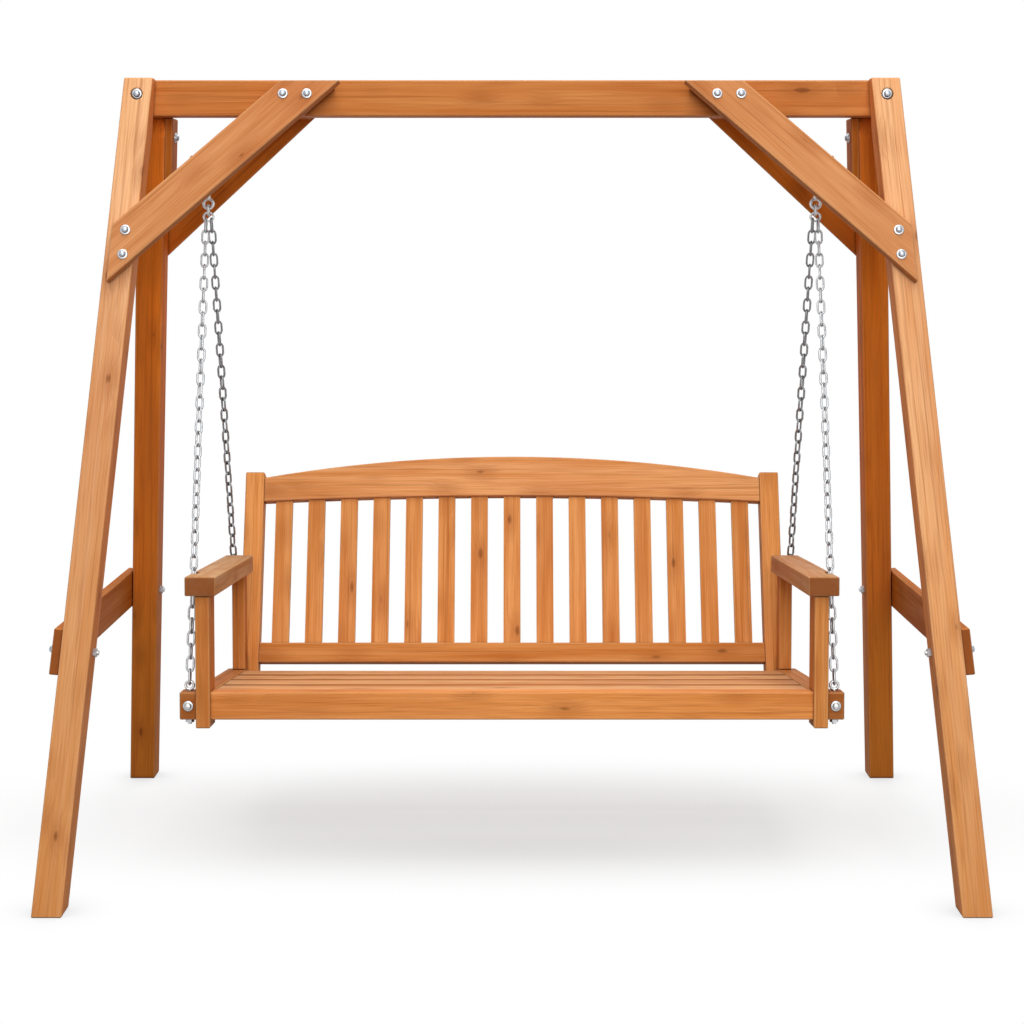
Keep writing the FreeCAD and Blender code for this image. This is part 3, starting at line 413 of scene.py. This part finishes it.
def board_ways():
    """Each board's node with the direction of its grain."""
    ways = {"leg_cleats": Vector((0, LEG_LEAN, -1)), "back_slats": tilted(BACK_TILT)}
    for name in ["top_beam", "brace_packers", "front_rail", "rear_rail", "low_back_rail", "top_back_rail",
                 *SEAT_SLATS]:
        ways[name] = RIGHTWARD
    for side, sign in SIDES.items():
        for end, front, splay in (("front", -1, FRONT_SPLAY), ("rear", 1, REAR_SPLAY)):
            ways["%s_%s_leg" % (end, side)] = Vector((sign * splay, front * LEG_LEAN, -1))
            brace = Vector((sign * BRACE_RUN.x, front * BRACE_RUN.y, BRACE_RUN.z))
            ways["%s_%s_brace" % (end, side)] = brace
            ways["%s_%s_post" % (end, side)] = tilted(BENCH_TILT)
        ways[side + "_stretcher"] = BACKWARD
        ways[side + "_hanger_bar"] = BACKWARD
        ways[side + "_armrest"] = tilted(math.pi / 2 + BENCH_TILT)
        ways[side + "_side_rail"] = tilted(math.pi / 2 + SEAT_TILT)
        ways[side + "_stile"] = tilted(BACK_TILT)
    for place in ("left", "middle", "right"):
        ways[place + "_bearer"] = tilted(math.pi / 2 + SEAT_TILT)
    return ways


def stain(name):
    """The pale and the deep hue of a board's stain."""
    for words, pale, deep in STAINS:
        if any(word in name for word in words):
            return pale, deep


def own_marks(name):
    """What sets a board's look apart from that of the others."""
    marks = {}
    if name == "back_slats":
        marks["pitch"] = BACK_SLAT_PITCH
    if name == "front_rail":
        marks["dark_past"] = RAIL_AT_POST
    # The legs' painted shade towards the ground
    if name.endswith("_leg"):
        marks["foot"] = LEG_FOOT_SHADE_SHARE
    # The front legs' painted shade on the faces turned from the front
    if name in ("front_left_leg", "front_right_leg"):
        marks["unfaded"] = LEG_SIDE_SHADE_SHARE
    return marks


def middle_of(name):
    """The middle of the box round a node."""
    low, high = (Vector(corner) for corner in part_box(name))
    return (low + high) / 2


def coat(name, material):
    """Gives a node of the solids its one material."""
    nodes[name].data.materials.clear()
    nodes[name].data.materials.append(material)


def dress_boards():
    """Gives every board a stain and a grain of its own."""
    for seed, (name, way) in enumerate(sorted(board_ways().items()), start=1):
        pine = stained_pine("stained_pine_" + name, way, middle_of(name), seed, *stain(name),
                            **own_marks(name))
        coat(name, pine)


def show(name, mesh, body, node):
    """Puts a new piece on a body, in place of a node of the solids."""
    piece = bpy.data.objects.new(name, mesh)
    bpy.context.scene.collection.objects.link(piece)
    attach(piece, body)
    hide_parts(node)


def round_seat_boards():
    """Seat boards with rounder long edges than the solids have. The rounded edges take darker hues, a
    painted shade of the gaps between the boards."""
    lean = Matrix.Rotation(-SEAT_TILT, 4, "X")
    gap_shade_pine = stained_pine("painted_gap_shade_pine", RIGHTWARD, Vector(), GAP_SEED, *GAP_SHADE_HUES)
    for node in SEAT_SLATS:
        board = bmesh.new()
        bmesh.ops.create_cube(board, size=1, matrix=Matrix.Diagonal(SEAT_BOARD).to_4x4())
        long_edges = [edge for edge in board.edges if edge.calc_length() > SEAT_BOARD[0] / 2]
        rounded = bmesh.ops.bevel(board, geom=long_edges, offset=SEAT_BOARD_ROUND,
                                  segments=SEAT_ROUND_STEPS, profile=0.5, affect="EDGES",
                                  material=-1)["faces"]
        for face in rounded:
            face.smooth = True
            face.material_index = 1
        bmesh.ops.transform(board, matrix=Matrix.Translation(middle_of(node)) @ lean, verts=board.verts)
        mesh = bpy.data.meshes.new(node + "_rounded")
        board.to_mesh(mesh)
        board.free()
        mesh.materials.append(nodes[node].data.materials[0])
        mesh.materials.append(gap_shade_pine)
        show(node + "_rounded", mesh, "swing", node)


def wire_ring(reach, wire, steps, sides):
    """A ring of round wire in the XZ plane, with no cut of it level with its middle."""
    ring = bmesh.new()
    start = Matrix.Rotation(-math.pi / steps, 4, "Y") @ Matrix.Translation((reach, 0, 0))
    bmesh.ops.create_circle(ring, segments=sides, radius=wire / 2, matrix=start)
    bmesh.ops.spin(ring, geom=ring.verts[:] + ring.edges[:], cent=(0, 0, 0), axis=(0, 1, 0), dvec=(0, 0, 0),
                   angle=2 * math.pi, steps=steps, use_merge=True, use_duplicate=False)
    bmesh.ops.remove_doubles(ring, verts=ring.verts, dist=MERGE_DISTANCE)
    bmesh.ops.recalc_face_normals(ring, faces=ring.faces)
    return ring


def bent_link(inner_length, inner_width, steps, sides, drawn=0.0):
    """A closed link with its length along Z: a ring whose two halves are moved apart, and whose ends are
    drawn out to half ovals."""
    reach = (inner_width + WIRE) / 2 / math.cos(math.pi / steps)
    link = wire_ring(reach, WIRE, steps, sides)
    apart = (inner_length + WIRE) / 2 - reach - drawn
    for vertex in link.verts:
        turn = math.atan2(vertex.co.z, vertex.co.x)
        vertex.co.z += math.copysign(apart, turn) + drawn * math.sin(turn)
    return link


def eyebolt(reach, wire, shank, length):
    """A wire ring that stands on a round shank, which reaches down from zero by a length."""
    bolt = wire_ring(reach, wire, EYE_STEPS, WIRE_SIDES)
    bmesh.ops.translate(bolt, vec=(0, 0, reach + wire / 2), verts=bolt.verts)
    top = wire / 2
    bmesh.ops.create_cone(bolt, cap_ends=True, segments=SHANK_SIDES, radius1=shank / 2, radius2=shank / 2,
                          depth=length + top, matrix=Matrix.Translation((0, 0, (top - length) / 2)))
    return bolt


def domed_bolt(shank, length):
    """A washer under a domed head, on a shank below zero. The head takes the second material."""
    below = ((0, -length), (shank / 2, -length), (shank / 2, 0))
    washer = ((WASHER_RADIUS, 0), (WASHER_RADIUS, WASHER_HEIGHT - WASHER_CHAMFER),
              (WASHER_RADIUS - WASHER_CHAMFER, WASHER_HEIGHT))
    bolt = bmesh.new()
    rim = [bolt.verts.new((across, 0, height)) for across, height in below + washer + HEAD_DOME]
    lines = [bolt.edges.new(pair) for pair in zip(rim, rim[1:])]
    bmesh.ops.spin(bolt, geom=rim + lines, cent=(0, 0, 0), axis=(0, 0, 1), dvec=(0, 0, 0),
                   angle=2 * math.pi, steps=BOLT_STEPS, use_merge=True, use_duplicate=False)
    bmesh.ops.remove_doubles(bolt, verts=bolt.verts, dist=MERGE_DISTANCE)
    bmesh.ops.recalc_face_normals(bolt, faces=bolt.faces)
    for face in bolt.faces:
        face.material_index = 1 if face.calc_center_median().z > WASHER_HEIGHT + MERGE_DISTANCE else 0
    return bolt


def steel_piece(node, batches, materials):
    """One mesh that stands for a node of the solids. A batch is a shape and the places of its copies."""
    whole = bmesh.new()
    for shape, places in batches:
        one = bpy.data.meshes.new(node + "_one")
        shape.to_mesh(one)
        shape.free()
        for place in places:
            known = len(whole.verts)
            whole.from_mesh(one)
            bmesh.ops.transform(whole, matrix=place, verts=whole.verts[known:])
        bpy.data.meshes.remove(one)
    for face in whole.faces:
        face.smooth = True
    for edge in whole.edges:
        edge.smooth = edge.calc_face_angle(0) < SHARP_ANGLE
    mesh = bpy.data.meshes.new(node + "_plated")
    whole.to_mesh(mesh)
    whole.free()
    for material in materials:
        mesh.materials.append(material)
    stand = frame["record"]["behaviour"]["bodies"]["stand"]
    show(node + "_plated", mesh, "stand" if node in stand else "swing", node)


def mirrored(vector, side):
    """A right-hand vector, taken to a side."""
    return Vector((side * vector.x, vector.y, vector.z))


def aimed(seat, way):
    """A place at a seat whose Z axis runs along a way."""
    return Matrix.Translation(seat) @ way.to_track_quat("Z", "Y").to_matrix().to_4x4()


def both_sides(seats, way):
    """Places at right-hand seats and at their mirror images, with Z along a way."""
    return [aimed(mirrored(seat, side), mirrored(way, side)) for seat in seats for side in SIDES.values()]


def hang_chains(metals):
    """Each link turns by a little over a quarter turn from the one above, so that the last one lies in the
    plane of the first."""
    for end, (top, bottom, count) in CHAINS.items():
        run = bottom - top
        pitch = (run.length + RING_SEAT + EYE_SEAT + LINK_GAP) / count
        inner_length = pitch + LINK_GAP
        for name, side in SIDES.items():
            down = mirrored(run, side).normalized()
            across = (BACKWARD - down * down.y).normalized()
            square = Matrix((across, down.cross(across), down)).transposed().to_4x4()
            first = mirrored(top, side) + down * (inner_length / 2 - RING_SEAT - LINK_GAP)
            twist = math.radians(side * (90 + 90 / (count - 1)))
            places = []
            for step in range(count):
                middle = Matrix.Translation(first + down * (pitch * step))
                places.append(middle @ square @ Matrix.Rotation(twist * step, 4, "Z"))
            link = bent_link(inner_length, LINK_WIDTH, LINK_STEPS, LINK_SIDES, LINK_ROUND)
            steel_piece("%s_%s_chain" % (end, name), [(link, places)], [metals[end]])


def hang_fittings(metals):
    """The connecting links, rings and eyebolts at the ends of the chains."""
    bright = [metals["fitting"]]
    quarter = Matrix.Rotation(math.pi / 2, 4, "Z")
    level = Matrix.Rotation(math.pi / 2, 4, "Y")
    upside_down = Matrix.Rotation(math.pi, 4, "Y")
    across = [side * HANGER_REACH for side in SIDES.values()]
    connectors = [Matrix.Translation((x, 0, CONNECTOR_MIDDLE)) @ quarter for x in across]
    rings = [Matrix.Translation((x, 0, RING_MIDDLE)) @ level for x in across]
    hangers = [Matrix.Translation((x, 0, HANGER_EYE_TOP)) @ upside_down for x in across]
    connector = bent_link(CONNECTOR_LENGTH, CONNECTOR_WIDTH, RING_STEPS, WIRE_SIDES)
    ring = bent_link(RING_WIDTH, RING_HEIGHT, RING_STEPS, WIRE_SIDES)
    hanger = eyebolt(length=HANGER_EYE_LENGTH, **HANGER_EYEBOLT)
    steel_piece("connecting_links", [(connector, connectors)], bright)
    steel_piece("chain_rings", [(ring, rings)], bright)
    steel_piece("hanger_eyebolts", [(hanger, hangers)], bright)
    eyes = []
    for seat, tilt, length in ((FRONT_EYE, BENCH_TILT, FRONT_EYE_LENGTH),
                               (REAR_EYE, SEAT_TILT, REAR_EYE_LENGTH)):
        lean = Matrix.Rotation(-tilt, 4, "X")
        places = [Matrix.Translation(mirrored(seat, side)) @ lean for side in SIDES.values()]
        eyes.append((eyebolt(length=length, **CHAIN_EYEBOLT), places))
    steel_piece("chain_eyebolts", eyes, bright)


def drive_bolts(metals):
    """The bolts and screws with their washers, and the nuts of the solids."""
    bolt = [metals["bolt"], metals["head"]]
    rear_out = Vector((0, -BRACE_OUT.y, BRACE_OUT.z))
    rear_beam_screws = [Vector((seat.x, -seat.y, seat.z)) for seat in BEAM_SCREWS]
    beam_screws = both_sides(BEAM_SCREWS, BRACE_OUT) + both_sides(rear_beam_screws, rear_out)
    leg_screws = both_sides(FRONT_LEG_SCREWS, BRACE_OUT) + both_sides(REAR_LEG_SCREWS, rear_out)
    apex_places = both_sides([APEX_SEAT], FORWARD)
    lock_places = both_sides([LOCK_SEAT], -tilted(BENCH_TILT + math.pi / 2))
    stretcher_places = both_sides(STRETCHER_SEATS, STRETCHER_OUT)
    cleat_places = both_sides([CLEAT_SEAT], CLEAT_OUT)
    steel_piece("brace_screws", [(domed_bolt(SCREW_SHANK, BEAM_SCREW_LENGTH), beam_screws),
                                 (domed_bolt(SCREW_SHANK, LEG_SCREW_LENGTH), leg_screws)], bolt)
    steel_piece("apex_bolts", [(domed_bolt(BOLT_SHANK, APEX_BOLT_LENGTH), apex_places)], bolt)
    steel_piece("stretcher_bolts", [(domed_bolt(BOLT_SHANK, STRETCHER_BOLT_LENGTH), stretcher_places)],
                bolt)
    steel_piece("leg_cleat_screws", [(domed_bolt(SCREW_SHANK, CLEAT_SCREW_LENGTH), cleat_places)], bolt)
    steel_piece("lock_screws", [(domed_bolt(SCREW_SHANK, LOCK_SCREW_LENGTH), lock_places)],
                [metals["bolt"], metals["fitting"]])
    for name in ("apex_nuts", "stretcher_nuts", "hanger_nuts", "chain_eye_nuts"):
        coat(name, metals["bolt"])


def place_camera():
    """In front of the middle, at four fifths of the swing's height, looking slightly down."""
    lens = bpy.data.cameras.new("camera")
    lens.sensor_width = CAMERA_SENSOR
    lens.lens = CAMERA_LENS
    camera = bpy.data.objects.new("camera", lens)
    camera.location = CAMERA_PLACE
    camera.rotation_euler = (math.pi / 2 - CAMERA_DIP, 0, 0)
    bpy.context.scene.collection.objects.link(camera)
    bpy.context.scene.camera = camera


def seen_directly(tree):
    """One for a ray from the eye, a reflection or a see-through surface, and zero for other rays."""
    path = add(tree, "ShaderNodeLightPath").outputs
    glossy = add(tree, "ShaderNodeMath", {0: path["Is Camera Ray"], 1: path["Is Glossy Ray"]},
                 operation="MAXIMUM").outputs["Value"]
    return add(tree, "ShaderNodeMath", {0: glossy, 1: path["Is Transmission Ray"]},
               operation="MAXIMUM").outputs["Value"]


def light_room():
    """A broad key high in front of the swing, a fill behind the camera, a weak lamp behind the swing and a
    pale room."""
    world = bpy.data.worlds.new("pale_room")
    world.use_nodes = True
    tree = world.node_tree
    tree.nodes.clear()
    lit = add(tree, "ShaderNodeBackground", {"Color": linear("#FFFFFF"), "Strength": ROOM_LIGHT})
    shown = add(tree, "ShaderNodeBackground", {"Color": linear("#FFFFFF"), "Strength": 1.0})
    mixed = add(tree, "ShaderNodeMixShader", {0: seen_directly(tree), 1: lit.outputs[0],
                                              2: shown.outputs[0]})
    add(tree, "ShaderNodeOutputWorld", {"Surface": mixed.outputs[0]})
    bpy.context.scene.world = world
    for name, (place, across, power) in LAMPS.items():
        lamp = bpy.data.lights.new(name, "AREA")
        lamp.size = across
        lamp.energy = power
        holder = bpy.data.objects.new(name, lamp)
        holder.location = place
        holder.rotation_euler = (LAMP_AIM - Vector(place)).to_track_quat("-Z", "Y").to_euler()
        bpy.context.scene.collection.objects.link(holder)


def pale_floor():
    """A floor that shows a light shadow under the swing and round the feet, fades to the white of the room
    and throws little light up."""
    material, tree = new_material("pale_floor")
    spot = add(tree, "ShaderNodeTexCoord").outputs["Object"]
    oval = add(tree, "ShaderNodeMapping", {"Vector": spot, "Location": PATCH_SHIFT,
                                           "Scale": PATCH_SQUEEZE}).outputs["Vector"]
    away = add(tree, "ShaderNodeVectorMath", {0: oval}, operation="LENGTH").outputs["Value"]
    fade = add(tree, "ShaderNodeMapRange", {"Value": away, "From Min": PATCH_CORE, "From Max": PATCH_REACH,
                                            "To Min": PATCH_WHITE},
               interpolation_type="SMOOTHSTEP").outputs["Result"]
    matt = add(tree, "ShaderNodeBsdfDiffuse", {"Color": linear("#F6F6F6")})
    open_air = add(tree, "ShaderNodeAmbientOcclusion", {"Distance": CONTACT_REACH}, samples=8).outputs["AO"]
    contact = add(tree, "ShaderNodeMapRange", {"Value": open_air, "From Min": 0.45, "From Max": 0.95,
                                               "To Min": CONTACT_WHITE}).outputs["Result"]
    white = add(tree, "ShaderNodeEmission", {"Color": linear("#FFFFFF"), "Strength": contact})
    shown = add(tree, "ShaderNodeMixShader", {0: fade, 1: matt.outputs[0], 2: white.outputs[0]})
    dim = add(tree, "ShaderNodeBsdfDiffuse", {"Color": linear("#808080")})
    mixed = add(tree, "ShaderNodeMixShader", {0: seen_directly(tree), 1: dim.outputs[0],
                                              2: shown.outputs[0]})
    add(tree, "ShaderNodeOutputMaterial", {"Surface": mixed.outputs[0]})
    return material


def lay_floor():
    """A wide flat sheet under the feet."""
    sheet = bmesh.new()
    bmesh.ops.create_grid(sheet, x_segments=1, y_segments=1, size=FLOOR_REACH)
    mesh = bpy.data.meshes.new("floor")
    sheet.to_mesh(mesh)
    sheet.free()
    mesh.materials.append(pale_floor())
    floor = bpy.data.objects.new("floor", mesh)
    floor.location = (0, 0, -FLOOR_DROP)
    bpy.context.scene.collection.objects.link(floor)


place_camera()
dress_boards()
round_seat_boards()
# The rear chains are darker than the front ones, a painted shade of chains hanging in shade
zinc = {"front": zinc_plate("bright_zinc_chain", "#BCBFC2", "#A0A3A6"),
        "rear": zinc_plate("dull_zinc_chain", "#96989B", "#75777A"),
        "fitting": zinc_plate("bright_zinc_fittings", "#D6D7D6", "#BDBFC0"),
        "bolt": zinc_plate("bright_zinc_washer", "#BFC2C5", "#A9ACB0", contact_shade=0.25),
        "head": zinc_plate("blue_zinc_head", "#B0B6BE", "#949BA4")}
hang_chains(zinc)
hang_fittings(zinc)
drive_bolts(zinc)
light_room()
lay_floor()
bpy.context.scene.view_settings.view_transform = "Standard"
